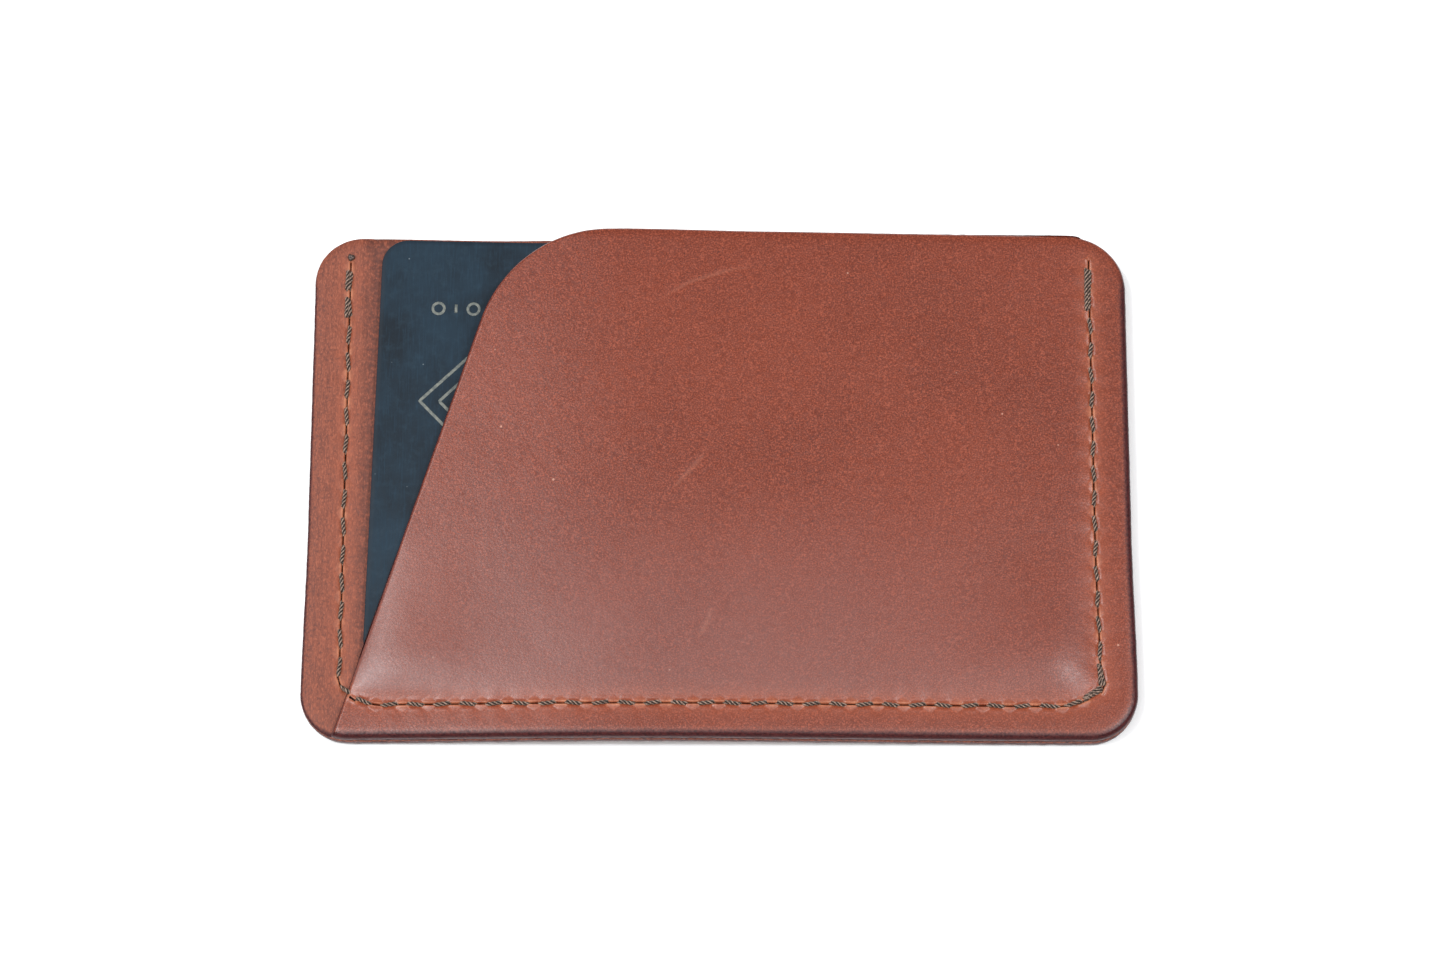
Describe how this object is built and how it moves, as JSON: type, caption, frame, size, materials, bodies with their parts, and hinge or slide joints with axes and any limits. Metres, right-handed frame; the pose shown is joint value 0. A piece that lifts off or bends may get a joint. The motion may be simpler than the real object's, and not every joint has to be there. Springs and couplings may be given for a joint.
{
  "type": "card holder",
  "caption": "Flat stitched leather card holder of three panels: the front one has a slanted thumb cut and is moulded over a plastic card that slides out of the top edge.",
  "frame": {"origin": "middle of the holder's outline on the flat back, which rests on the surface at z = 0", "axes": "+X across the width towards the fully stitched side, +Y towards the open edge that the card leaves by, +Z out of the front"},
  "size_m": [0.1002, 0.0636, 0.0044],
  "materials": {
    "panel_leather": "smooth vegetable-tanned grain, lightly waxed, dark burnished edges",
    "strip_leather": "duller, fibrous, with fine streaks along the strip beside the card",
    "thread": "twisted grey-brown waxed thread",
    "card_plastic": "dark slate blue, matt, with a pale engraved pattern"
  },
  "bodies": {
    "holder": {"back_panel": "panel_leather", "centre_panel": "strip_leather", "front_panel": "panel_leather", "needle_thread": "thread", "bobbin_thread": "thread"},
    "card": {"card": "card_plastic"}
  },
  "joints": [
    {"name": "card_slide", "type": "slide", "parent": "holder", "child": "card", "axis": [0, 1, 0], "range_m": [0, 0.06]}
  ]
}
